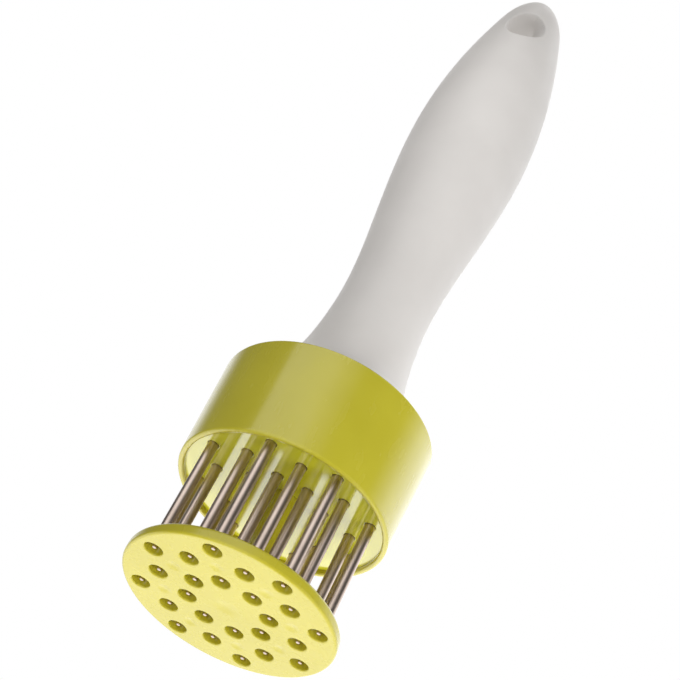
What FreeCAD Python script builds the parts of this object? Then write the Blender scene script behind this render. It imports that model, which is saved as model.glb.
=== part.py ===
"""Hand-pressed needle meat tenderizer: a grip, a green head with 24 needles and a sprung guard plate.

The tool stands upright on its guard plate. +Z runs up the tool's axis, from the plate to the tip of
the grip, -Y is the front, where the recess in the grip is, and the origin is the centre of the
plate's lower face. Lengths are in millimetres.
"""
import FreeCAD, Part
import math
import os

# Needle pattern: three rings, each with the same count, turned half a step from ring to ring
ring_radii = (9.2, 15.9, 20.0)
needles_per_ring = 8
first_needle_angle = 22.5
needle_diameter = 2.4
needle_point_length = 4.0
needle_tip_diameter = 0.7
needle_tip_height = 0.4
socket_clearance = 0.05

# Guard plate: its edge lies a margin outside the outer ring of needles
plate_margin = 4.0
plate_thickness = 2.8
plate_floor = 1.0
plate_lower_round = 1.1
plate_upper_round = 1.1
hole_diameter = 4.0
hole_countersink = 0.35

# Guide post that carries the plate and slides in the head
post_diameter = 8.4
post_spigot_diameter = 5.4
post_end_chamfer = 0.6
seat_clearance = 0.05
slide_clearance = 0.25
stop_gap = 0.1

# Travel of the plate and the height at which the needles leave the holder
plate_travel = 23.5
travel_end_gap = 0.5
face_recess = 1.2

# Green collar that houses the needle holder and widens towards its top
collar_height = 25.2
collar_wall = 1.15
collar_flare = 0.7
collar_lower_round = 0.8
collar_inner_round = 0.3
collar_upper_round = 0.6
snap_lip = 0.25
top_wall = 2.5
shoulder_width = 1.6

# Needle holder, a margin wider than the outer ring, and the steel plate behind the needles' ends
holder_margin = 3.2
holder_thickness = 7.0
holder_clearance = 0.05
backing_thickness = 1.5

# Threaded neck in the collar, which the grip's spigot screws into
neck_depth = 8.1
neck_wall = 2.0
neck_floor = 2.0
spigot_radius = 14.8
thread_clearance = 0.1
spigot_end_gap = 0.3

# Grip: its outline's radius at shares of its length above the collar's top
grip_length = 155.5
grip_base_radius = 20.8
grip_base_land = 1.2
grip_stations = ((0.064, 14.4), (0.129, 12.1), (0.232, 11.05), (0.386, 12.85), (0.592, 15.3),
                 (0.772, 13.4), (0.900, 9.6), (0.971, 5.6))
grip_flare_angle = 55.0

# Recess in the front of the grip, near its tip: an oval scoop that runs in towards +X
recess_below_tip = 20.8
recess_half_width = 4.3
recess_half_height = 5.9
recess_half_depth = 7.0
recess_centre_depth = 0.5
recess_side_shift = -0.6
recess_slant = 32.0

# Return spring, and the stop on the post's upper end
bore_radius = 7.0
spring_length = 47.8
spring_wire = 0.9
spring_mean_radius = 5.0
spring_turns = 10
spring_closed_turns = 1
points_per_turn = 16
wire_sides = 6
washer_clearance = 0.5
washer_thickness = 1.2
screw_diameter = 3.0
screw_length = 12.0
screw_head_diameter = 6.4
screw_head_height = 2.4
screw_drive_width = 1.0
screw_drive_depth = 1.2

# Heights that follow from the sizes above
rim_height = plate_thickness + plate_travel + travel_end_gap
face_height = rim_height + face_recess
holder_top = face_height + holder_thickness
backing_top = holder_top + backing_thickness
collar_top = rim_height + collar_height
neck_floor_top = collar_top - neck_depth
washer_seat = neck_floor_top + stop_gap
washer_top = washer_seat + washer_thickness
spring_seat = washer_top + spring_length
spigot_end = neck_floor_top + spigot_end_gap
tip_height = collar_top + grip_length

# Radii that follow from the sizes above
plate_radius = ring_radii[-1] + plate_margin
holder_radius = ring_radii[-1] + holder_margin
cavity_radius = holder_radius + holder_clearance
shoulder_radius = cavity_radius - shoulder_width
lip_radius = cavity_radius - snap_lip
collar_lower_radius = cavity_radius + collar_wall
collar_upper_radius = collar_lower_radius + collar_flare
slide_radius = post_diameter / 2 + slide_clearance
washer_radius = bore_radius - washer_clearance
neck_radius = spigot_radius + thread_clearance

UP = FreeCAD.Vector(0, 0, 1)
ORIGIN = FreeCAD.Vector(0, 0, 0)


def point(radius, height):
    """Point of a section: radius along +X, height along +Z."""
    return FreeCAD.Vector(radius, 0, height)


def turn(edges):
    """Solid that a closed section sweeps when it turns once about the tool's axis."""
    face = Part.Face(Part.Wire(Part.__sortEdges__(edges)))
    return face.revolve(ORIGIN, UP, 360)


def outline(corners):
    """Straight edges through the corners and back to the first one."""
    closed = list(corners) + [corners[0]]
    return [Part.makeLine(start, end) for start, end in zip(closed, closed[1:])]


def rod(radius, low, high, x=0.0, y=0.0):
    """Upright cylinder between two heights."""
    return Part.makeCylinder(radius, high - low, FreeCAD.Vector(x, y, low))


def ring_edges(solid, radius, height):
    """Circular edges of a solid at one radius about the axis and one height."""
    found = []
    for edge in solid.Edges:
        curve = edge.Curve
        if not isinstance(curve, Part.Circle):
            continue
        off_axis = math.hypot(curve.Center.x, curve.Center.y)
        if off_axis < 0.01 and abs(curve.Center.z - height) < 0.01 and abs(curve.Radius - radius) < 0.01:
            found.append(edge)
    return found


def needle_places():
    """Centres of the needles, ring by ring from the innermost one."""
    step = 360.0 / needles_per_ring
    places = []
    for ring, radius in enumerate(ring_radii):
        first = first_needle_angle + step / 2 * (ring % 2)
        for count in range(needles_per_ring):
            angle = math.radians(first + step * count)
            places.append((radius * math.cos(angle), radius * math.sin(angle)))
    return places


def make_needle(x, y):
    """Steel rod with a tapered point, standing in its socket up to the backing plate."""
    shoulder = needle_tip_height + needle_point_length
    taper = Part.makeCone(needle_tip_diameter / 2, needle_diameter / 2, needle_point_length,
                          FreeCAD.Vector(x, y, needle_tip_height))
    shank = rod(needle_diameter / 2, shoulder, holder_top, x, y)
    return shank.fuse(taper).removeSplitter()


def make_guard_plate():
    """Round plate with rounded rims, a countersunk hole for each needle and the post's blind seat."""
    plate = rod(plate_radius, 0, plate_thickness)
    plate = plate.makeFillet(plate_lower_round, ring_edges(plate, plate_radius, 0))
    plate = plate.makeFillet(plate_upper_round, ring_edges(plate, plate_radius, plate_thickness))
    hole_radius = hole_diameter / 2
    mouth_radius = hole_radius + hole_countersink
    cutters = [rod(post_spigot_diameter / 2 + seat_clearance, plate_floor, plate_thickness)]
    for x, y in needle_places():
        mouth = Part.makeCone(mouth_radius, hole_radius, hole_countersink, FreeCAD.Vector(x, y, 0))
        cutters.append(mouth.fuse(rod(hole_radius, 0, plate_thickness, x, y)))
    return plate.cut(cutters)


def make_guide_post():
    """Post with a spigot pressed into the plate's blind seat and a pilot hole for the stop screw."""
    shaft = rod(post_diameter / 2, plate_thickness, washer_seat)
    shaft = shaft.makeChamfer(post_end_chamfer, ring_edges(shaft, post_diameter / 2, washer_seat))
    spigot = rod(post_spigot_diameter / 2, plate_floor + seat_clearance, plate_thickness)
    pilot = rod(screw_diameter / 2 + seat_clearance, washer_top - screw_length, washer_seat)
    return shaft.fuse(spigot).cut(pilot)


def make_stop_washer():
    """Washer that lands on the neck's floor and holds the plate in the head."""
    disc = rod(washer_radius, washer_seat, washer_top)
    return disc.cut(rod(screw_diameter / 2 + seat_clearance, washer_seat, washer_top))


def make_stop_screw():
    """Slotted pan-head screw down the middle of the post."""
    head_top = washer_top + screw_head_height
    head_radius = screw_head_diameter / 2
    head = rod(head_radius, washer_top, head_top)
    head = head.makeFillet(screw_head_height / 3, ring_edges(head, head_radius, head_top))
    shank = rod(screw_diameter / 2, washer_top - screw_length + seat_clearance, washer_top)
    slot = Part.makeBox(screw_head_diameter, screw_drive_width, screw_drive_depth,
                        FreeCAD.Vector(-head_radius, -screw_drive_width / 2, head_top - screw_drive_depth))
    return head.cut(slot).fuse(shank)


def make_needle_holder():
    """Thick disc with a through socket for each needle and a bore that guides the post."""
    disc = rod(holder_radius, face_height, holder_top)
    cutters = [rod(slide_radius, face_height, holder_top)]
    for x, y in needle_places():
        cutters.append(rod(needle_diameter / 2 + socket_clearance, face_height, holder_top, x, y))
    return disc.cut(cutters)


def make_backing_plate():
    """Steel disc that takes the thrust of the needles' ends."""
    disc = rod(holder_radius, holder_top, backing_top)
    return disc.cut(rod(slide_radius + slide_clearance, holder_top, backing_top))


def make_collar():
    """Tapered shell with a snap lip below, a shoulder inside and a threaded neck in its top wall."""
    section = outline([
        point(lip_radius, rim_height),
        point(collar_lower_radius, rim_height),
        point(collar_upper_radius, collar_top),
        point(neck_radius, collar_top),
        point(neck_radius, neck_floor_top),
        point(slide_radius, neck_floor_top),
        point(slide_radius, neck_floor_top - neck_floor),
        point(neck_radius + neck_wall, neck_floor_top - neck_floor),
        point(neck_radius + neck_wall, collar_top - top_wall),
        point(shoulder_radius, collar_top - top_wall),
        point(shoulder_radius, backing_top),
        point(cavity_radius, backing_top),
        point(cavity_radius, face_height),
        point(lip_radius, face_height),
    ])
    shell = turn(section)
    shell = shell.makeFillet(collar_lower_round, ring_edges(shell, collar_lower_radius, rim_height))
    shell = shell.makeFillet(collar_inner_round, ring_edges(shell, lip_radius, rim_height))
    return shell.makeFillet(collar_upper_round, ring_edges(shell, collar_upper_radius, collar_top))


def make_recess():
    """Oval cutter for the scoop in the front of the grip, slanted in towards +X."""
    height = tip_height - recess_below_tip
    squash = FreeCAD.Matrix()
    squash.scale(recess_half_width, recess_half_depth, recess_half_height)
    cutter = Part.makeSphere(1.0).transformGeometry(squash)
    cutter.rotate(ORIGIN, UP, -recess_slant)
    surface = grip_radius_near(height)
    cutter.translate(FreeCAD.Vector(recess_side_shift, recess_centre_depth - surface, height))
    return cutter


def grip_curve():
    """Smooth outline of the grip, from its base land to the rounded tip on the axis."""
    points = [point(grip_base_radius, collar_top + grip_base_land)]
    points += [point(radius, collar_top + grip_length * share) for share, radius in grip_stations]
    points.append(point(0, tip_height))
    flare = math.radians(grip_flare_angle)
    curve = Part.BSplineCurve()
    curve.interpolate(Points=points,
                      InitialTangent=point(-math.sin(flare), math.cos(flare)),
                      FinalTangent=point(-1, 0),
                      Scale=False)
    return curve


def grip_radius_near(height):
    """Radius of the grip's outline at one height."""
    level = Part.makeLine(point(0, height), point(grip_base_radius, height))
    crossing = grip_curve().toShape().distToShape(level)[1][0][0]
    return crossing.x


def make_handle():
    """One-piece grip with its screw-in spigot, the bore for the spring and the front recess."""
    corners = [
        point(0, tip_height),
        point(0, spigot_end),
        point(spigot_radius, spigot_end),
        point(spigot_radius, collar_top),
        point(grip_base_radius, collar_top),
        point(grip_base_radius, collar_top + grip_base_land),
    ]
    section = [Part.makeLine(start, end) for start, end in zip(corners, corners[1:])]
    section.append(grip_curve().toShape())
    body = turn(section)
    return body.cut([rod(bore_radius, spigot_end, spring_seat), make_recess()])


def coil_rise(turns):
    """Height of the wire's middle above its lower end after some turns, with closed coils at both ends."""
    rise = spring_length - spring_wire
    closed_rise = spring_wire * spring_closed_turns
    if turns < spring_closed_turns:
        return spring_wire * turns
    if turns > spring_turns - spring_closed_turns:
        return rise - spring_wire * (spring_turns - turns)
    share = (turns - spring_closed_turns) / (spring_turns - 2 * spring_closed_turns)
    return closed_rise + share * (rise - 2 * closed_rise)


def make_return_spring():
    """Helical spring between the washer and the end of the grip's bore, with flats along its wire."""
    wire_radius = spring_wire / 2
    rings = []
    for count in range(spring_turns * points_per_turn + 1):
        turns = count / points_per_turn
        angle = 2 * math.pi * turns
        outward = FreeCAD.Vector(math.cos(angle), math.sin(angle), 0)
        centre = outward * spring_mean_radius + UP * (washer_top + wire_radius + coil_rise(turns))
        corners = []
        for side in range(wire_sides):
            side_angle = 2 * math.pi * side / wire_sides
            offset = outward * math.cos(side_angle) + UP * math.sin(side_angle)
            corners.append(centre + offset * wire_radius)
        rings.append(Part.makePolygon(corners + [corners[0]]))
    return Part.makeLoft(rings, True, True)


def build():
    """Every piece by its node's name."""
    pieces = {
        "handle": make_handle(),
        "collar": make_collar(),
        "needle_holder": make_needle_holder(),
        "backing_plate": make_backing_plate(),
        "guard_plate": make_guard_plate(),
        "guide_post": make_guide_post(),
        "stop_washer": make_stop_washer(),
        "stop_screw": make_stop_screw(),
        "return_spring": make_return_spring(),
    }
    for count, (x, y) in enumerate(needle_places(), start=1):
        pieces[f"needle_{count:02d}"] = make_needle(x, y)
    return pieces


def save(pieces):
    """Write one file per piece and print its size."""
    os.makedirs("parts", exist_ok=True)
    for name, shape in pieces.items():
        shape.exportStep(os.path.join("parts", name + ".step"))
        box = shape.BoundBox
        print(f"{name}: {len(shape.Solids)} solid, valid {shape.isValid()}, volume {shape.Volume:.1f}, "
              f"x {box.XMin:.2f} {box.XMax:.2f}, y {box.YMin:.2f} {box.YMax:.2f}, "
              f"z {box.ZMin:.2f} {box.ZMax:.2f}")


save(build())
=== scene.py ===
import math

import bmesh
import bpy
import numpy as np
from mathutils import Matrix, Vector


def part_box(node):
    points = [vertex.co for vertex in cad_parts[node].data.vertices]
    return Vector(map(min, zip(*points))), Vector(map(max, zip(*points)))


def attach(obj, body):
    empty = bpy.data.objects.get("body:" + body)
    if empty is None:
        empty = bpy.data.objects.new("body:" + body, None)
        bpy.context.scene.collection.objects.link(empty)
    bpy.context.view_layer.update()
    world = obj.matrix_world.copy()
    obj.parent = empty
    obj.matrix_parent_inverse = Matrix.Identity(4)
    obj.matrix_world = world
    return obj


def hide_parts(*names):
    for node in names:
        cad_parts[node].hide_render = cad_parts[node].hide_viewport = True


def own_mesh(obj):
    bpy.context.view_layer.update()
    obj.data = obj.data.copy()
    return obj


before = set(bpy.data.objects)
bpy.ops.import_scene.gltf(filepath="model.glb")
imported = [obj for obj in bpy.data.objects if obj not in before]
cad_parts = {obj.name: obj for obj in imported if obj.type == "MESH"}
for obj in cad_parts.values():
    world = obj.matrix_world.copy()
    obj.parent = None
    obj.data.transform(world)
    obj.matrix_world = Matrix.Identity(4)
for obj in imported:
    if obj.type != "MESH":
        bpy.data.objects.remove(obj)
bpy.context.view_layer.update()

MM = 0.001


# Heights and radii in millimetres, read from the frame's nodes

def low(node):
    """Lowest corner of a node, in millimetres."""
    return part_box(node)[0] / MM


def high(node):
    """Highest corner of a node, in millimetres."""
    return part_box(node)[1] / MM


plate_radius = high("guard_plate").x
plate_top = high("guard_plate").z
holder_radius = high("needle_holder").x
holder_face = low("needle_holder").z
holder_top = high("needle_holder").z
rim_height = low("collar").z
collar_top = high("collar").z
collar_upper_radius = high("collar").x
tip_height = high("handle").z
grip_foot_radius = high("handle").x
spigot_end = low("handle").z
needle_tip = low("needle_01").z
needle_radius = (high("needle_01").x - low("needle_01").x) / 2
spring_top = high("return_spring").z
spring_bottom = low("return_spring").z
spring_outer_radius = high("return_spring").x

needle_nodes = [name for name in sorted(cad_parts) if name.startswith("needle_")
                and name != "needle_holder"]


def centre(node):
    """Middle of a node's box in plan, in millimetres."""
    middle = (low(node) + high(node)) / 2
    return middle.x, middle.y


needle_places = [centre(name) for name in needle_nodes]

# Sizes of the finish that the nodes' boxes don't give, in millimetres
collar_lower_radius = 24.4
collar_cavity_radius = 23.25
collar_lip_radius = 23.0
collar_shoulder_radius = 21.65
collar_backing_top = 36.5
neck_radius = 14.9
neck_wall = 2.0
neck_floor_top = 43.9
neck_floor = 2.0
top_wall = 2.5
slide_radius = 4.45
spigot_radius = 14.8
bore_radius = 7.0
bore_end = 93.0
grip_base_land = 1.2

# Edges and dents of the guard plate; a pair of rounds is the lower edge's and the upper edge's
plate_rounds = (0.7, 1.1)
plate_hole_radius = 2.06
plate_hole_rounds = (0.36, 0.2)
mark_depth = 0.2
centre_mark_radius = 3.0
mark_radius = 1.8
mark_ring_radius = 14.4
mark_count = 8
first_mark_angle = 22.5

# Edges of the needle holder
holder_rounds = (0.15, 0.1)
socket_clearance = 0.05
socket_rounds = (0.25, 0.05)
slide_rounds = (0.3, 0.1)

# Edges of the collar
lip_inner_round = 0.65
lip_outer_round = 0.7
collar_top_round = 0.6
neck_mouth_round = 0.15
wall_round = 0.3
small_round = 0.1
tight_round = 0.05

# Needle's point and its end behind the holder
point_length = 4.0
point_radius = 0.45
point_round = 0.16
point_steps = 4
point_cap_angle = 80
shoulder_blend = 0.5
needle_end_round = 0.15

# Return spring
spring_wire = 0.9
spring_turns = 10

# Grip outline: radius at shares of its length above the collar
grip_stations = ((0.064, 14.4), (0.129, 12.1), (0.232, 11.05), (0.386, 12.85), (0.592, 15.3),
                 (0.772, 13.4), (0.900, 9.6), (0.971, 5.6))
grip_flare_angle = 55.0
grip_foot_round = 0.2
spigot_edge_round = 0.4
bore_round = 0.3

# Recess in the front of the grip: an ellipsoid that runs in towards +X
recess_height = tip_height - 20.5
recess_half = np.array((4.7, 7.4, 6.4))
recess_middle_depth = 0.5
recess_side_shift = -2.1
recess_slant = math.radians(36)
recess_round = 0.6
recess_reach = 9.0
recess_depth_steps = 121
recess_margin = 2.5
recess_normal_margin = 2.4

# Fineness of the grip's mesh: rows in millimetres, columns in front and behind
row_spacing = 0.25
coarse_row = 4
front_half_angle = 75
front_columns = 241
back_columns = 92


# Meshes

def arc_corner(before, corner, after, radius, steps):
    """Points and outward normals of a fillet. The section is walked with its solid on the left."""
    a = Vector(before) - Vector(corner)
    b = Vector(after) - Vector(corner)
    a.normalize()
    b.normalize()
    half = math.acos(max(-1.0, min(1.0, a.dot(b)))) / 2
    reach = radius / math.tan(half)
    middle = Vector(corner) + (a + b).normalized() * (radius / math.sin(half))
    start = Vector(corner) + a * reach - middle
    end = Vector(corner) + b * reach - middle
    sweep = math.pi - 2 * half
    turn = 1 if start.x * end.y - start.y * end.x > 0 else -1
    found = []
    for step in range(steps + 1):
        angle = turn * sweep * step / steps
        spoke = Vector((start.x * math.cos(angle) - start.y * math.sin(angle),
                        start.x * math.sin(angle) + start.y * math.cos(angle)))
        normal = spoke.normalized() * turn
        found.append((middle + spoke, normal))
    return found


def rounded_section(corners, steps=6):
    """Points and normals of a closed section from counterclockwise corners (radius, height, fillet)."""
    points = []
    normals = []
    count = len(corners)
    for index, (x, y, fillet) in enumerate(corners):
        before = corners[index - 1][:2]
        after = corners[(index + 1) % count][:2]
        for place, normal in arc_corner(before, (x, y), after, fillet, steps):
            points.append(tuple(place))
            normals.append(tuple(normal))
    return points, normals


def make_object(name, vertices, faces, normals=None):
    """Smooth mesh object from millimetre vertices, with given normals where there are any."""
    mesh = bpy.data.meshes.new(name)
    mesh.from_pydata([tuple(MM * value for value in vertex) for vertex in vertices], [], faces)
    mesh.validate(clean_customdata=False)
    mesh.shade_smooth()
    if normals is not None:
        mesh.normals_split_custom_set_from_vertices(normals)
    piece = bpy.data.objects.new(name, mesh)
    bpy.context.scene.collection.objects.link(piece)
    return piece


def lathe(name, section, segments):
    """Ring-shaped solid: a closed section of points and normals, turned about the Z axis."""
    points, flat_normals = section
    count = len(points)
    vertices = []
    normals = []
    for step in range(segments):
        angle = 2 * math.pi * step / segments
        c, s = math.cos(angle), math.sin(angle)
        for (radius, height), (out, up) in zip(points, flat_normals):
            vertices.append((radius * c, radius * s, height))
            normals.append((out * c, out * s, up))
    faces = []
    for step in range(segments):
        here = step * count
        there = (step + 1) % segments * count
        for index in range(count):
            after = (index + 1) % count
            faces.append((here + index, there + index, there + after, here + after))
    return make_object(name, vertices, faces, normals)


class Shell:
    """Gathers rings of vertices and strips between them for a pierced disc."""

    def __init__(self):
        self.vertices = []
        self.normals = []
        self.faces = []

    def ring(self, x, y, radius, height, out, up, segments):
        """Circle of vertices whose normals lean outwards by out and upwards by up."""
        first = len(self.vertices)
        for step in range(segments):
            angle = 2 * math.pi * step / segments
            c, s = math.cos(angle), math.sin(angle)
            self.vertices.append((x + radius * c, y + radius * s, height))
            self.normals.append((out * c, out * s, up))
        return list(range(first, first + segments))

    def strip(self, lower, upper):
        """Band of quads between two rings; its front is outwards where lower is the lower ring."""
        count = len(lower)
        for index in range(count):
            after = (index + 1) % count
            self.faces.append((lower[index], lower[after], upper[after], upper[index]))

    def wall(self, x, y, stations, segments, inward):
        """Rings through stations (radius, height, out, up), joined by bands."""
        rings = [self.ring(x, y, *station, segments) for station in stations]
        for below, above in zip(rings, rings[1:]):
            if inward:
                self.strip(above, below)
            else:
                self.strip(below, above)
        return rings[0], rings[-1]

    def cover(self, loops, up):
        """Flat face bounded by an outer loop and inner loops."""
        work = bmesh.new()
        made = {}
        edges = []
        for loop in loops:
            corners = []
            for index in loop:
                vertex = work.verts.new(self.vertices[index])
                made[vertex] = index
                corners.append(vertex)
            for start, end in zip(corners, corners[1:] + corners[:1]):
                edges.append(work.edges.new((start, end)))
        filled = bmesh.ops.triangle_fill(work, use_beauty=True, use_dissolve=False, edges=edges,
                                         normal=Vector((0, 0, up)))
        for element in filled["geom"]:
            if isinstance(element, bmesh.types.BMFace):
                corners = [made[vertex] for vertex in element.verts]
                if element.calc_area() and element.normal.z * up < 0:
                    corners.reverse()
                self.faces.append(tuple(corners))
        work.free()


def quarter(radius, height, fillet, outward, rising, steps=5):
    """Stations of a rounded edge that starts or ends level with a flat face.

    radius is where the wall stands and height where the face lies. outward is 1 for an outer wall
    and -1 for a hole. rising is 1 where the wall is above the face and -1 where it is below.
    """
    stations = []
    for step in range(steps + 1):
        angle = math.pi / 2 * step / steps
        out = outward * math.sin(angle)
        up = -rising * math.cos(angle)
        middle_radius = radius - outward * fillet
        middle_height = height + rising * fillet
        stations.append((middle_radius + fillet * out, middle_height + fillet * up, out, up))
    return stations


def pierced_disc(name, radius, bottom, top, rounds, holes, marks=(), hole_segments=40):
    """Disc with rounded rims and through holes (x, y, radius, lower round, upper round).

    marks are shallow round dents in the lower face (x, y, radius, depth).
    """
    rim_segments = 192
    lower_round, upper_round = rounds
    shell = Shell()
    rim = quarter(radius, bottom, lower_round, 1, 1, 8)
    rim += reversed(quarter(radius, top, upper_round, 1, -1, 6))
    first, last = shell.wall(0, 0, rim, rim_segments, False)
    lower_loops = [first]
    upper_loops = [last]
    for x, y, hole, lower_mouth, upper_mouth in holes:
        stations = quarter(hole, bottom, lower_mouth, -1, 1)
        stations += reversed(quarter(hole, top, upper_mouth, -1, -1))
        first, last = shell.wall(x, y, stations, hole_segments, True)
        lower_loops.append(first)
        upper_loops.append(last)
    for x, y, mark, depth in marks:
        bowl = []
        for share in (1.0, 0.85, 0.7, 0.55, 0.4, 0.2):
            dip = 1 - share ** 2
            slope = -4 * depth / mark * share * dip
            bowl.append((mark * share, bottom + depth * dip ** 2, slope, -1))
        first, last = shell.wall(x, y, bowl, hole_segments, True)
        shell.cover([last], -1)
        lower_loops.append(first)
    shell.cover(lower_loops, -1)
    shell.cover(upper_loops, 1)
    return make_object(name, shell.vertices, shell.faces, shell.normals)


# Pieces

def show(piece, body, slot, *nodes):
    """Let a piece ride on a body and stand for nodes."""
    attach(piece, body)
    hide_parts(*nodes)
    return piece


def make_guard_plate():
    """Plate with soft rims, rounded hole mouths and the moulding's faint round dents."""
    holes = [(x, y, plate_hole_radius, *plate_hole_rounds) for x, y in needle_places]
    marks = [(0, 0, centre_mark_radius, mark_depth)]
    for count in range(mark_count):
        angle = math.radians(first_mark_angle + 360 / mark_count * count)
        x = mark_ring_radius * math.cos(angle)
        y = mark_ring_radius * math.sin(angle)
        marks.append((x, y, mark_radius, mark_depth))
    return pierced_disc("guard_plate_moulding", plate_radius, 0, plate_top, plate_rounds, holes, marks)


def make_needle_holder():
    """Glossy holder with a softened mouth at each socket."""
    socket_radius = needle_radius + socket_clearance
    holes = [(x, y, socket_radius, *socket_rounds) for x, y in needle_places]
    holes.append((0, 0, slide_radius, *slide_rounds))
    return pierced_disc("needle_holder_moulding", holder_radius, holder_face, holder_top, holder_rounds,
                        holes, hole_segments=32)


def make_collar():
    """Collar shell: tapered outside, rounded lip, shoulder over the backing plate and the neck."""
    neck_bottom = neck_floor_top - neck_floor
    neck_outer_radius = neck_radius + neck_wall
    ceiling = collar_top - top_wall
    corners = [
        (collar_lip_radius, rim_height, lip_inner_round),
        (collar_lower_radius, rim_height, lip_outer_round),
        (collar_upper_radius, collar_top, collar_top_round),
        (neck_radius, collar_top, neck_mouth_round),
        (neck_radius, neck_floor_top, small_round),
        (slide_radius, neck_floor_top, small_round),
        (slide_radius, neck_bottom, small_round),
        (neck_outer_radius, neck_bottom, wall_round),
        (neck_outer_radius, ceiling, wall_round),
        (collar_shoulder_radius, ceiling, wall_round),
        (collar_shoulder_radius, collar_backing_top, small_round),
        (collar_cavity_radius, collar_backing_top, tight_round),
        (collar_cavity_radius, holder_face, tight_round),
        (collar_lip_radius, holder_face, tight_round),
    ]
    return lathe("collar_moulding", rounded_section(corners), segments=224)


def clamped_spline(points, start, end, spacing):
    """Smooth curve through points with given end directions, sampled about every spacing."""
    places = np.array(points, float)
    steps = np.linalg.norm(np.diff(places, axis=0), axis=1)
    count = len(places)
    system = np.zeros((count, count))
    right = np.zeros((count, 2))
    system[0, 0] = system[-1, -1] = 1
    right[0] = start
    right[-1] = end
    slopes = np.diff(places, axis=0) / steps[:, None]
    for index in range(1, count - 1):
        before, after = steps[index - 1], steps[index]
        system[index, index - 1] = after
        system[index, index] = 2 * (before + after)
        system[index, index + 1] = before
        right[index] = 3 * (after * slopes[index - 1] + before * slopes[index])
    tangents = np.linalg.solve(system, right)
    found = []
    for index in range(count - 1):
        length = steps[index]
        parts = max(2, round(length / spacing))
        shares = np.arange(parts) / parts
        for share in shares:
            square, cube = share ** 2, share ** 3
            found.append((2 * cube - 3 * square + 1) * places[index]
                         + (cube - 2 * square + share) * length * tangents[index]
                         + (3 * square - 2 * cube) * places[index + 1]
                         + (cube - square) * length * tangents[index + 1])
    found.append(places[-1])
    return np.array(found)


def soft_max(a, b, width):
    """Greater of two values, rounded over a width."""
    share = np.clip(0.5 + 0.5 * (a - b) / width, 0, 1)
    return b + (a - b) * share + width * share * (1 - share)


def recess_inside(places, surface_radius):
    """How deep places lie inside the slanted scoop, about in millimetres; negative outside it."""
    middle = np.array((recess_side_shift, recess_middle_depth - surface_radius, recess_height))
    offset = places - middle
    c, s = math.cos(recess_slant), math.sin(recess_slant)
    local = np.stack((offset[..., 0] * c - offset[..., 1] * s,
                      offset[..., 0] * s + offset[..., 1] * c,
                      offset[..., 2]), axis=-1)
    scaled = local / recess_half
    length = np.linalg.norm(scaled, axis=-1)
    slope = np.linalg.norm(scaled / recess_half, axis=-1)
    return -length * (length - 1) / np.maximum(slope, 1e-6)


def sink_recess(places, outwards, surface_radius):
    """Move surface points inwards to the wall of the recess, with a rounded lip."""
    depths = np.linspace(0, recess_reach, recess_depth_steps)
    found = np.zeros(len(places))
    open_rows = np.ones(len(places), bool)
    value_before = None
    for depth in depths:
        value = soft_max(np.full(len(places), -depth),
                         recess_inside(places - outwards * depth, surface_radius), recess_round)
        if value_before is not None:
            crossed = open_rows & (value <= 0)
            share = value_before[crossed] / np.maximum(value_before[crossed] - value[crossed], 1e-9)
            found[crossed] = depth - (1 - np.clip(share, 0, 1)) * (depths[1] - depths[0])
            open_rows &= ~crossed
        value_before = value
    return places - outwards * found[:, None]


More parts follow.
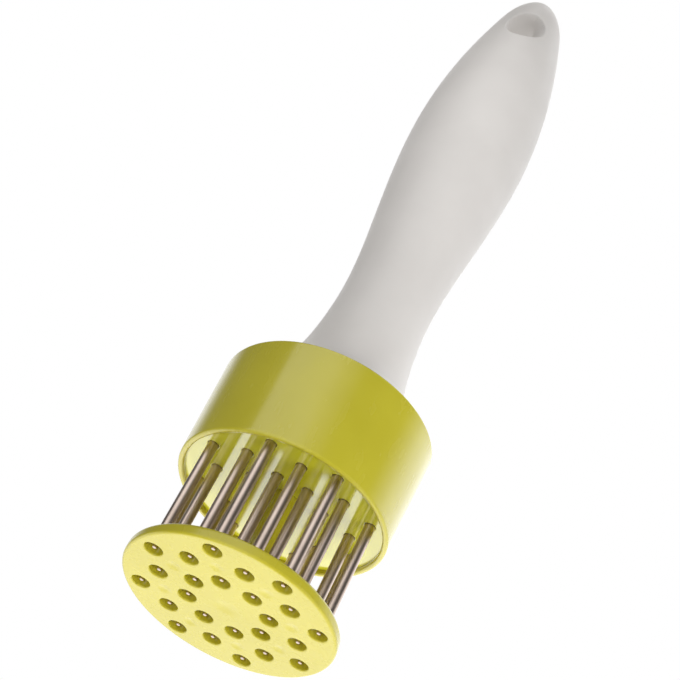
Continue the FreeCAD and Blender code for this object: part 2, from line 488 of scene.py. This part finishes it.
def make_handle():
    """Grip turned from its outline, with a closely meshed front where the recess is."""
    length = tip_height - collar_top
    flare = math.radians(grip_flare_angle)
    points = [(grip_foot_radius, collar_top + grip_base_land)]
    points += [(radius, collar_top + share * length) for share, radius in grip_stations]
    points.append((0, tip_height))
    curve = clamped_spline(points, (-math.sin(flare), math.cos(flare)), (-1, 0), row_spacing)
    recess_span = recess_half[2] + recess_margin
    near = np.abs(curve[:, 1] - recess_height) < recess_span
    keep = [index for index in range(len(curve) - 1) if near[index] or index % coarse_row == 0]
    rows = curve[keep]
    ahead = np.gradient(curve, axis=0)[keep]
    ahead /= np.linalg.norm(ahead, axis=1)[:, None]
    row_normals = np.stack((ahead[:, 1], -ahead[:, 0]), axis=1)

    front = np.linspace(-front_half_angle, front_half_angle, front_columns)
    back = np.linspace(front_half_angle, 360 - front_half_angle, back_columns)[1:-1]
    angles = np.radians(np.concatenate((front, back)) - 90)
    columns = len(angles)
    c, s = np.cos(angles), np.sin(angles)
    vertices = []
    normals = []
    surface_radius = float(np.interp(recess_height, rows[:, 1], rows[:, 0]))
    for (radius, height), (out, up) in zip(rows, row_normals):
        places = np.stack((radius * c, radius * s, np.full(columns, height)), axis=1)
        outwards = np.stack((out * c, out * s, np.full(columns, up)), axis=1)
        if abs(height - recess_height) < recess_span:
            ahead_of_axis = places[:, 1] < 0
            places[ahead_of_axis] = sink_recess(places[ahead_of_axis], outwards[ahead_of_axis],
                                                surface_radius)
        vertices.append(places)
        normals.append(outwards)

    inner_corners = [
        (grip_foot_radius, collar_top + grip_base_land, None),
        (grip_foot_radius, collar_top, grip_foot_round),
        (spigot_radius, collar_top, small_round),
        (spigot_radius, spigot_end, spigot_edge_round),
        (bore_radius, spigot_end, bore_round),
        (bore_radius, bore_end, bore_round),
        (0, bore_end, None),
    ]
    inner = []
    for index in range(1, len(inner_corners) - 1):
        x, y, fillet = inner_corners[index]
        before = inner_corners[index - 1][:2]
        after = inner_corners[index + 1][:2]
        inner.extend(arc_corner(before, (x, y), after, fillet, steps=3))
    inner_rows = []
    inner_normals = []
    for place, normal in inner:
        out = -normal.x
        up = np.full(columns, -normal.y)
        inner_rows.append(np.stack((place.x * c, place.x * s, np.full(columns, place.y)), axis=1))
        inner_normals.append(np.stack((out * c, out * s, up), axis=1))
    grid = inner_rows[::-1] + vertices
    grid_normals = inner_normals[::-1] + normals
    count = len(grid)
    flat = np.concatenate(grid)
    flat_normals = np.concatenate(grid_normals)
    faces = []
    for row in range(count - 1):
        for column in range(columns):
            after = (column + 1) % columns
            faces.append((row * columns + column, row * columns + after,
                          (row + 1) * columns + after, (row + 1) * columns + column))
    bottom = len(flat)
    top = bottom + 1
    flat = np.concatenate((flat, [(0, 0, bore_end), (0, 0, tip_height)]))
    flat_normals = np.concatenate((flat_normals, [(0, 0, -1), (0, 0, 1)]))
    last_row = (count - 1) * columns
    for column in range(columns):
        after = (column + 1) % columns
        faces.append((bottom, after, column))
        faces.append((top, last_row + column, last_row + after))
    piece = make_object("handle_moulding", flat.tolist(), faces)
    mesh = piece.data
    own = np.zeros(len(mesh.vertices) * 3, np.float32)
    mesh.vertices.foreach_get("normal", own)
    own = own.reshape(-1, 3)
    height = flat[:, 2]
    near_recess = np.abs(height - recess_height) < recess_half[2] + recess_normal_margin
    near_recess &= flat[:, 1] < 0
    mixed = np.where(near_recess[:, None], own, flat_normals)
    mesh.normals_split_custom_set_from_vertices(mixed.tolist())
    return piece


def make_needle(name, x, y):
    """Polished rod with a ground, slightly rounded point."""
    shoulder = needle_tip + point_length
    lean = math.atan2(needle_radius - point_radius, point_length)
    out, up = math.cos(lean), -math.sin(lean)
    stations = []
    for step in range(1, point_steps + 1):
        angle = math.radians(point_cap_angle) * step / point_steps
        radius = point_radius * math.sin(angle)
        height = needle_tip + point_round * (1 - math.cos(angle))
        stations.append((radius, height, math.sin(angle) * point_round / point_radius, -math.cos(angle)))
    stations += [
        (point_radius * 1.02, needle_tip + point_round * 1.2, out, up),
        (needle_radius * 0.93, shoulder - 0.9 * shoulder_blend, out, up),
        (needle_radius * 0.985, shoulder + 0.1 * shoulder_blend, math.cos(lean / 2), -math.sin(lean / 2)),
        (needle_radius, shoulder + shoulder_blend, 1.0, 0.0),
        (needle_radius, holder_top - needle_end_round, 1.0, 0.0),
        (needle_radius - 0.05, holder_top - 0.04, 0.7, 0.7),
        (needle_radius - needle_end_round, holder_top, 0.0, 1.0),
    ]
    segments = 40
    shell = Shell()
    first, last = shell.wall(0, 0, stations, segments, False)
    tip = len(shell.vertices)
    shell.vertices.append((0, 0, needle_tip))
    shell.normals.append((0, 0, -1))
    end = tip + 1
    shell.vertices.append((0, 0, holder_top))
    shell.normals.append((0, 0, 1))
    for index in range(segments):
        after = (index + 1) % segments
        shell.faces.append((tip, first[after], first[index]))
        shell.faces.append((end, last[index], last[after]))
    piece = make_object(name, shell.vertices, shell.faces, shell.normals)
    piece.location = (x * MM, y * MM, 0)
    return piece


def coil_height(turns, all_turns, wire, rise):
    """Height of the wire's middle after some turns, with one closed coil at each end."""
    if turns < 1:
        return wire * turns
    if turns > all_turns - 1:
        return rise - wire * (all_turns - turns)
    return wire + (turns - 1) / (all_turns - 2) * (rise - 2 * wire)


def make_return_spring():
    """Round wire wound in ten turns, the first and last closed."""
    wire = spring_wire
    per_turn = 48
    sides = 12
    middle_radius = spring_outer_radius - wire / 2
    rise = spring_top - spring_bottom - wire
    vertices = []
    normals = []
    count = spring_turns * per_turn + 1
    for step in range(count):
        share = step / per_turn
        angle = 2 * math.pi * share
        c, s = math.cos(angle), math.sin(angle)
        height = spring_bottom + wire / 2 + coil_height(share, spring_turns, wire, rise)
        for side in range(sides):
            around = 2 * math.pi * side / sides
            out, up = math.cos(around), math.sin(around)
            radius = middle_radius + out * wire / 2
            vertices.append((radius * c, radius * s, height + up * wire / 2))
            normals.append((out * c, out * s, up))
    faces = []
    for step in range(count - 1):
        for side in range(sides):
            after = (side + 1) % sides
            faces.append((step * sides + side, (step + 1) * sides + side,
                          (step + 1) * sides + after, step * sides + after))
    faces.append(tuple(range(sides)))
    faces.append(tuple(range((count - 1) * sides, count * sides))[::-1])
    return make_object("return_spring_wire", vertices, faces, normals)


# Materials

def new_material(name, **settings):
    """Material with a principled shader and object coordinates; returns what its nodes need."""
    material = bpy.data.materials.new(name)
    material.use_nodes = True
    tree = material.node_tree
    shader = tree.nodes["Principled BSDF"]
    for socket, value in settings.items():
        shader.inputs[socket.replace("_", " ")].default_value = value
    place = tree.nodes.new("ShaderNodeTexCoord").outputs["Object"]
    return material, tree, shader, place


def noise(tree, place, scale, detail=3.0, stretch=(1, 1, 1)):
    """Noise value at object coordinates, stretched along an axis."""
    mapping = tree.nodes.new("ShaderNodeMapping")
    mapping.inputs["Scale"].default_value = stretch
    tree.links.new(place, mapping.inputs["Vector"])
    texture = tree.nodes.new("ShaderNodeTexNoise")
    texture.inputs["Scale"].default_value = scale
    texture.inputs["Detail"].default_value = detail
    tree.links.new(mapping.outputs["Vector"], texture.inputs["Vector"])
    return texture.outputs["Fac"]


def ranged(tree, value, start, end, low_in=0.3, high_in=0.7):
    """Value mapped from the noise's middle range to start and end."""
    mapped = tree.nodes.new("ShaderNodeMapRange")
    mapped.inputs["From Min"].default_value = low_in
    mapped.inputs["From Max"].default_value = high_in
    mapped.inputs["To Min"].default_value = start
    mapped.inputs["To Max"].default_value = end
    tree.links.new(value, mapped.inputs["Value"])
    return mapped.outputs["Result"]


def tones(tree, value, *stops):
    """Colour ramp over a value, from stops (position, colour)."""
    ramp = tree.nodes.new("ShaderNodeValToRGB")
    elements = ramp.color_ramp.elements
    while len(elements) < len(stops):
        elements.new(0.5)
    for element, (position, colour) in zip(elements, stops):
        element.position = position
        element.color = (*colour, 1)
    tree.links.new(value, ramp.inputs["Fac"])
    return ramp.outputs["Color"]


def relief(tree, shader, value, strength, distance):
    """Bump from a value, with its depth in millimetres."""
    bump = tree.nodes.new("ShaderNodeBump")
    bump.inputs["Strength"].default_value = strength
    bump.inputs["Distance"].default_value = distance * MM
    tree.links.new(value, bump.inputs["Height"])
    tree.links.new(bump.outputs["Normal"], shader.inputs["Normal"])


# Scales of the noises, in features per metre of the object
cloud_scale = 45
rub_scale = 320
grain_scale = 1400
tarnish_scale = 160
line_scale = 2600


def plastic(name, dark, light, roughness, coat, grain, **settings):
    """Moulded plastic: slow mottling, fine handling marks and a slight moulded grain."""
    material, tree, shader, place = new_material(name, Coat_Weight=coat, Coat_Roughness=0.08,
                                                 **settings)
    cloud = noise(tree, place, cloud_scale, detail=4)
    mottled = tones(tree, cloud, (0.32, dark), (0.68, light))
    tree.links.new(mottled, shader.inputs["Base Color"])
    rub = noise(tree, place, rub_scale, detail=6, stretch=(1, 1, 0.35))
    tree.links.new(ranged(tree, rub, *roughness), shader.inputs["Roughness"])
    relief(tree, shader, noise(tree, place, grain_scale, detail=2), 0.25, grain)
    return material


def metal(name, dark, light, roughness, stretch, grain, scale=line_scale):
    """Drawn or ground metal: lengthwise lines, slow tarnish and uneven polish."""
    material, tree, shader, place = new_material(name, Metallic=1.0)
    lines = noise(tree, place, scale, detail=3, stretch=stretch)
    tarnish = noise(tree, place, tarnish_scale, detail=4)
    tarnished = tones(tree, tarnish, (0.3, dark), (0.7, light))
    tree.links.new(tarnished, shader.inputs["Base Color"])
    tree.links.new(ranged(tree, lines, *roughness), shader.inputs["Roughness"])
    relief(tree, shader, lines, 0.2, grain)
    return material


green = plastic("green_plastic", dark=(0.575, 0.515, 0.024), light=(0.635, 0.572, 0.032),
                roughness=(0.20, 0.30), coat=0.6, grain=0.004, IOR=1.5)
green_plate = plastic("green_plate", dark=(0.53, 0.47, 0.022), light=(0.585, 0.52, 0.03),
                      roughness=(0.22, 0.32), coat=0.35, grain=0.004, IOR=1.45)
# The needle holder is the collar's green plastic. Its gloss is its own, but its lighter base colour is
# painted light: it makes up for the shade that falls on the holder between the collar and the guard plate.
glossy_green_painted_lighter = plastic("glossy_green_painted_lighter", dark=(0.69, 0.67, 0.03), light=(0.74, 0.72, 0.04),
                      roughness=(0.07, 0.12), coat=1.0, grain=0.001, IOR=1.7)
grip_white = plastic("grip_white", dark=(0.79, 0.765, 0.74), light=(0.84, 0.815, 0.79),
                     roughness=(0.36, 0.46), coat=0.0, grain=0.006, IOR=1.48,
                     Specular_IOR_Level=0.3)
needle_steel = metal("needle_steel", dark=(0.49, 0.40, 0.345), light=(0.58, 0.48, 0.415),
                     roughness=(0.30, 0.42), stretch=(1, 1, 0.03), grain=0.003)
sheet_steel = metal("sheet_steel", dark=(0.55, 0.55, 0.55), light=(0.66, 0.66, 0.67),
                    roughness=(0.25, 0.42), stretch=(1, 0.05, 1), grain=0.004, scale=900)
plated_steel = metal("plated_steel", dark=(0.62, 0.63, 0.64), light=(0.74, 0.75, 0.76),
                     roughness=(0.18, 0.3), stretch=(1, 1, 1), grain=0.002)
spring_wire_steel = metal("spring_wire_steel", dark=(0.42, 0.42, 0.43), light=(0.55, 0.55, 0.56),
                          roughness=(0.2, 0.34), stretch=(0.1, 0.1, 1), grain=0.002)


def dress(piece, material):
    """Give a piece, or a node that stays, one material."""
    piece.data.materials.clear()
    piece.data.materials.append(material)


# The dressed part

plate = show(make_guard_plate(), "guard", "green_plastic", "guard_plate")
dress(plate, green_plate)
# The holder gets the green lightened as painted light against its shade.
holder = show(make_needle_holder(), "grip_head", "green_plastic", "needle_holder")
dress(holder, glossy_green_painted_lighter)
collar = show(make_collar(), "grip_head", "green_plastic", "collar")
dress(collar, green)
handle = show(make_handle(), "grip_head", "grip_plastic", "handle")
dress(handle, grip_white)
for node, (x, y) in zip(needle_nodes, needle_places):
    rod = show(make_needle(node + "_rod", x, y), "grip_head", "needle_steel", node)
    dress(rod, needle_steel)
spring = show(make_return_spring(), "grip_head", "spring_steel", "return_spring")
dress(spring, spring_wire_steel)
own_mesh(spring)
dress(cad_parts["guide_post"], green)
dress(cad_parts["backing_plate"], sheet_steel)
dress(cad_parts["stop_washer"], plated_steel)
dress(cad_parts["stop_screw"], plated_steel)


# Camera, fitted to the photograph's rings of holes

camera_place = Vector((1.708, -300.059, -150.363)) * MM
camera_right = Vector((0.886106, -0.262509, 0.381962))
camera_down = Vector((0.463042, 0.537075, -0.705087))
camera_ahead = Vector((-0.020044, 0.801647, 0.597458))
focal_pixels = 1631.23
frame_pixels = 680
sensor_side = 36

camera_data = bpy.data.cameras.new("camera")
camera_data.sensor_width = sensor_side
camera_data.sensor_height = sensor_side
camera_data.sensor_fit = "HORIZONTAL"
camera_data.lens = focal_pixels / frame_pixels * sensor_side
camera_data.clip_start = 0.01
camera = bpy.data.objects.new("camera", camera_data)
turned = Matrix((camera_right, -camera_down, -camera_ahead)).transposed()
camera.matrix_world = Matrix.Translation(camera_place) @ turned.to_4x4()
bpy.context.scene.collection.objects.link(camera)
bpy.context.scene.camera = camera


# Floor, world and lamps

# Floor in millimetres, and its glow: the share near the part and the span in metres where it grows
floor_half_side = 6000
floor_drop = 0.5
floor_glow = 0.5
floor_glow_span = (0.25, 1.2)

# What glossy pieces see, by azimuth in degrees from the front (-Y) towards +X; level 1 is white
left_wall_span = (-150, -128)
right_wall_span = (72, 105)
right_wall_level = 1.6
box_start = -62
box_end = -18
box_start_fade = 4
box_end_fade = 34
box_level = 1.5
room_level = 0.12
below_level = 2.0
below_fade = 0.35

# Even light on matt surfaces
fill_level = 0.46
fill_tint = (1.0, 0.985, 0.97)

# Lamps: name, place, aim and side in metres, level, tint, spread in degrees
warm = (1.0, 0.97, 0.92)
white_light = (1, 1, 1)
lamps = (
    ("below", (0, 0.4, -1.0), (0, 0, 0.02), 0.8, 0.57, warm, 180),
    ("below_back", (0.1, 0.9, -0.6), (0, 0, 0.02), 0.6, 0.32, warm, 180),
    ("right_low", (0.21, -0.12, -0.05), (0, 0, 0.045), 0.16, 0.075, white_light, 66),
    ("front_low", (-0.06, -0.22, -0.10), (0, 0, 0.025), 0.06, 0.012, white_light, 44),
    ("front_high", (-0.04, -0.34, 0.34), (0, 0, 0.135), 0.06, 0.006, white_light, 22),
)


def math_node(tree, operation, first, second):
    """Result of a math node on two values, each a socket or a number."""
    node = tree.nodes.new("ShaderNodeMath")
    node.operation = operation
    for socket, value in zip(node.inputs, (first, second)):
        if isinstance(value, (int, float)):
            socket.default_value = value
        else:
            tree.links.new(value, socket)
    return node.outputs[0]


def make_floor():
    """Pale floor just under the part. It is open to anything that looks at it from below."""
    half, height = floor_half_side, -floor_drop
    corners = [(-half, -half, height), (half, -half, height), (half, half, height), (-half, half, height)]
    floor = make_object("floor", corners, [(0, 1, 2, 3)])
    material = bpy.data.materials.new("floor_paper")
    material.use_nodes = True
    tree = material.node_tree
    paper = tree.nodes["Principled BSDF"]
    paper.inputs["Base Color"].default_value = (0.9, 0.9, 0.9, 1)
    paper.inputs["Roughness"].default_value = 0.9
    glow = tree.nodes.new("ShaderNodeEmission")
    place = tree.nodes.new("ShaderNodeTexCoord").outputs["Object"]
    distance = tree.nodes.new("ShaderNodeVectorMath")
    distance.operation = "LENGTH"
    tree.links.new(place, distance.inputs[0])
    far = ranged(tree, distance.outputs["Value"], floor_glow, 1, *floor_glow_span)
    lit = tree.nodes.new("ShaderNodeMixShader")
    tree.links.new(far, lit.inputs["Fac"])
    tree.links.new(paper.outputs[0], lit.inputs[1])
    tree.links.new(glow.outputs[0], lit.inputs[2])
    clear = tree.nodes.new("ShaderNodeBsdfTransparent")
    path = tree.nodes.new("ShaderNodeLightPath")
    side = tree.nodes.new("ShaderNodeNewGeometry")
    from_above = math_node(tree, "SUBTRACT", 1, side.outputs["Backfacing"])
    seen = math_node(tree, "MULTIPLY", path.outputs["Is Camera Ray"], from_above)
    mix = tree.nodes.new("ShaderNodeMixShader")
    tree.links.new(seen, mix.inputs["Fac"])
    tree.links.new(clear.outputs[0], mix.inputs[1])
    tree.links.new(lit.outputs[0], mix.inputs[2])
    tree.links.new(mix.outputs[0], tree.nodes["Material Output"].inputs["Surface"])
    dress(floor, material)


def background(tree, level, tint=(1, 1, 1)):
    """Background shader; level is a socket or a number."""
    node = tree.nodes.new("ShaderNodeBackground")
    node.inputs["Color"].default_value = (*tint, 1)
    if isinstance(level, (int, float)):
        node.inputs["Strength"].default_value = level
    else:
        tree.links.new(level, node.inputs["Strength"])
    return node.outputs[0]


def make_world():
    """White backdrop and an even soft fill. Gloss sees a dim room with a soft box and light below."""
    world = bpy.data.worlds.new("studio")
    bpy.context.scene.world = world
    world.use_nodes = True
    tree = world.node_tree
    tree.nodes.clear()
    path = tree.nodes.new("ShaderNodeLightPath")
    way = tree.nodes.new("ShaderNodeTexCoord").outputs["Generated"]
    parts = tree.nodes.new("ShaderNodeSeparateXYZ")
    tree.links.new(way, parts.inputs[0])
    x, y, z = parts.outputs
    backwards = math_node(tree, "MULTIPLY", y, -1)
    azimuth = math_node(tree, "ARCTAN2", x, backwards)

    def between(start, end, from_level, to_level):
        """Level that changes between two azimuths in degrees."""
        return ranged(tree, azimuth, from_level, to_level, math.radians(start), math.radians(end))

    left_wall = between(*left_wall_span, 1, 0)
    right_wall = math_node(tree, "MULTIPLY", between(*right_wall_span, 0, 1), right_wall_level)
    opening = between(box_start - box_start_fade, box_start, 0, 1)
    closing = between(box_end, box_end + box_end_fade, 1, 0)
    box = math_node(tree, "MULTIPLY", math_node(tree, "MULTIPLY", opening, closing), box_level)
    downwards = ranged(tree, z, below_level, 0, -below_fade, 0.0)
    rearwards = ranged(tree, y, 0, 1, 0.0, below_fade)
    below = math_node(tree, "MULTIPLY", downwards, rearwards)
    walls = math_node(tree, "ADD", left_wall, right_wall)
    room = math_node(tree, "ADD", math_node(tree, "ADD", walls, box), room_level)
    gloss_level = math_node(tree, "MAXIMUM", room, below)

    soft = background(tree, fill_level, fill_tint)
    gloss = background(tree, gloss_level)
    white = background(tree, 1.0)
    first = tree.nodes.new("ShaderNodeMixShader")
    tree.links.new(path.outputs["Is Glossy Ray"], first.inputs["Fac"])
    tree.links.new(soft, first.inputs[1])
    tree.links.new(gloss, first.inputs[2])
    second = tree.nodes.new("ShaderNodeMixShader")
    direct = math_node(tree, "MAXIMUM", path.outputs["Is Camera Ray"], path.outputs["Is Transmission Ray"])
    tree.links.new(direct, second.inputs["Fac"])
    tree.links.new(first.outputs[0], second.inputs[1])
    tree.links.new(white, second.inputs[2])
    output = tree.nodes.new("ShaderNodeOutputWorld")
    tree.links.new(second.outputs[0], output.inputs["Surface"])


def make_lamp(name, place, aim, side, level, tint, spread):
    """Square soft lamp. Level 1 adds about full white where an open lamp aims, and far more of it
    where the spread is narrow.
    """
    light = bpy.data.lights.new(name, "AREA")
    light.shape = "RECTANGLE"
    light.size = side
    light.size_y = side
    light.color = tint
    light.spread = math.radians(spread)
    start = Vector(place)
    away = Vector(aim) - start
    light.energy = level * math.pi ** 2 * away.length_squared
    lamp = bpy.data.objects.new(name, light)
    lamp.location = start
    lamp.rotation_euler = away.to_track_quat("-Z", "Y").to_euler()
    lamp.visible_glossy = False
    bpy.context.scene.collection.objects.link(lamp)


make_floor()
make_world()
for settings in lamps:
    make_lamp(*settings)

bpy.context.scene.view_settings.view_transform = "Standard"
